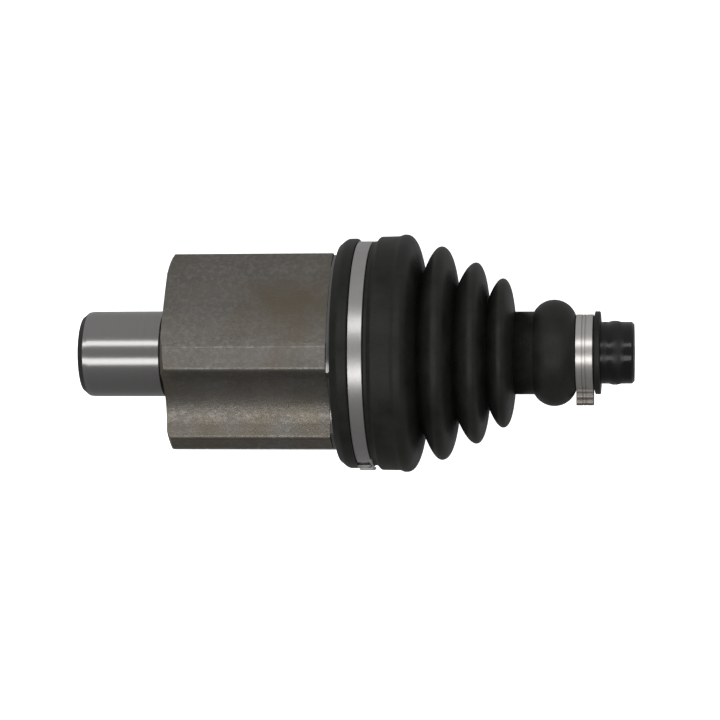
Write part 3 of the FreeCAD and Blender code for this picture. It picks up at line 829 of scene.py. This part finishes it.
class JOINT_OT_stage(bpy.types.Operator):
    """Makes the floor, the two long soft boxes, the dim surroundings and the camera"""

    bl_idname = "joint.make_stage"
    bl_label = "Stage"

    def execute(self, context):
        sizes, colours = context.scene.joint_sizes, context.scene.joint_colours
        scene = context.scene
        half = sizes.floor_size / 2
        level = CAD_BOX[0][2] - 0.3 * MM
        steps = np.linspace(-half, half, 9)
        x, y = np.meshgrid(steps, steps, indexing="ij")
        points = np.stack((x, y, np.full_like(x, level)), axis=-1).reshape(-1, 3)
        i, j = np.meshgrid(np.arange(8), np.arange(8), indexing="ij")
        here = i * 9 + j
        faces = np.stack((here, here + 9, here + 10, here + 1), axis=-1).reshape(-1, 4)
        floor = mesh_piece("floor", points, faces)
        finish(floor, floor_material(colours))
        floor.visible_glossy = False
        floor.visible_diffuse = False

        strip_light("upper_strip", 28.5, 1.15, 0.25, 5.4)
        strip_light("lower_strip", -20.5, 1.15, 0.33, 7.2)

        world = bpy.data.worlds.new("surroundings")
        world.use_nodes = True
        tree = world.node_tree
        background = tree.nodes["Background"]
        way = put(tree, "ShaderNodeTexCoord")
        parts = put(tree, "ShaderNodeSeparateXYZ")
        shade = put(tree, "ShaderNodeMapRange")
        shade.inputs["From Min"].default_value = -1.0
        shade.inputs["To Min"].default_value = 0.20
        shade.inputs["To Max"].default_value = 0.50
        join(tree, (way, "Generated"), (parts, "Vector"))
        join(tree, (parts, "Y"), (shade, "Value"))
        join(tree, (shade, "Result"), (background, "Color"))
        seen = put(tree, "ShaderNodeBackground")
        seen.inputs["Color"].default_value = (0.97, 0.97, 0.97, 1)
        path = put(tree, "ShaderNodeLightPath")
        mix = put(tree, "ShaderNodeMixShader")
        join(tree, (path, "Is Camera Ray"), (mix, 0))
        join(tree, (background, 0), (mix, 1))
        join(tree, (seen, 0), (mix, 2))
        tree.links.new(mix.outputs[0], tree.nodes["World Output"].inputs["Surface"])
        scene.world = world
        scene.view_settings.view_transform = "Standard"

        camera = bpy.data.cameras.new("camera")
        camera.lens = 141.5
        camera.sensor_width = 36.0
        camera.clip_end = 20.0
        viewer = bpy.data.objects.new("camera", camera)
        aim = np.array((117.6, -2.8, 0.0)) * MM
        place = np.array((261.0 * MM, aim[1], sizes.camera_reach))
        tilt = math.atan2(place[0] - aim[0], place[2])
        viewer.location = place
        turn = Matrix.Rotation(tilt, 3, "Y") @ Matrix.Rotation(CAMERA_ROLL, 3, "Z")
        viewer.rotation_euler = turn.to_euler()
        scene.collection.objects.link(viewer)
        scene.camera = viewer
        return {"FINISHED"}


class JOINT_PT_looks(bpy.types.Panel):
    """Lists what can be made, and the sizes and colours it is made with."""

    bl_label = "Tripod joint"
    bl_idname = "JOINT_PT_looks"
    bl_space_type = "VIEW_3D"
    bl_region_type = "UI"
    bl_category = "Tripod joint"

    def draw(self, context):
        layout = self.layout
        for operator in OPERATORS:
            layout.operator(operator.bl_idname)
        for group in (context.scene.joint_sizes, context.scene.joint_colours):
            box = layout.box()
            for name in group.__annotations__:
                box.prop(group, name)


OPERATORS = (JOINT_OT_boot, JOINT_OT_large_clamp, JOINT_OT_small_clamp, JOINT_OT_finishes, JOINT_OT_stage)
CLASSES = (JointSizes, JointColours, *OPERATORS, JOINT_PT_looks)


def register():
    """Registers every class and hangs the sizes and colours on the scene."""
    for each in CLASSES:
        bpy.utils.register_class(each)
    bpy.types.Scene.joint_sizes = bpy.props.PointerProperty(type=JointSizes)
    bpy.types.Scene.joint_colours = bpy.props.PointerProperty(type=JointColours)


def unregister():
    """Takes it all away again."""
    del bpy.types.Scene.joint_colours
    del bpy.types.Scene.joint_sizes
    for each in reversed(CLASSES):
        bpy.utils.unregister_class(each)


def main():
    """Makes everything in order."""
    register()
    bpy.ops.joint.make_boot()
    bpy.ops.joint.make_large_clamp()
    bpy.ops.joint.make_small_clamp()
    bpy.ops.joint.make_finishes()
    bpy.ops.joint.make_stage()


if __name__ == "__main__":
    main()
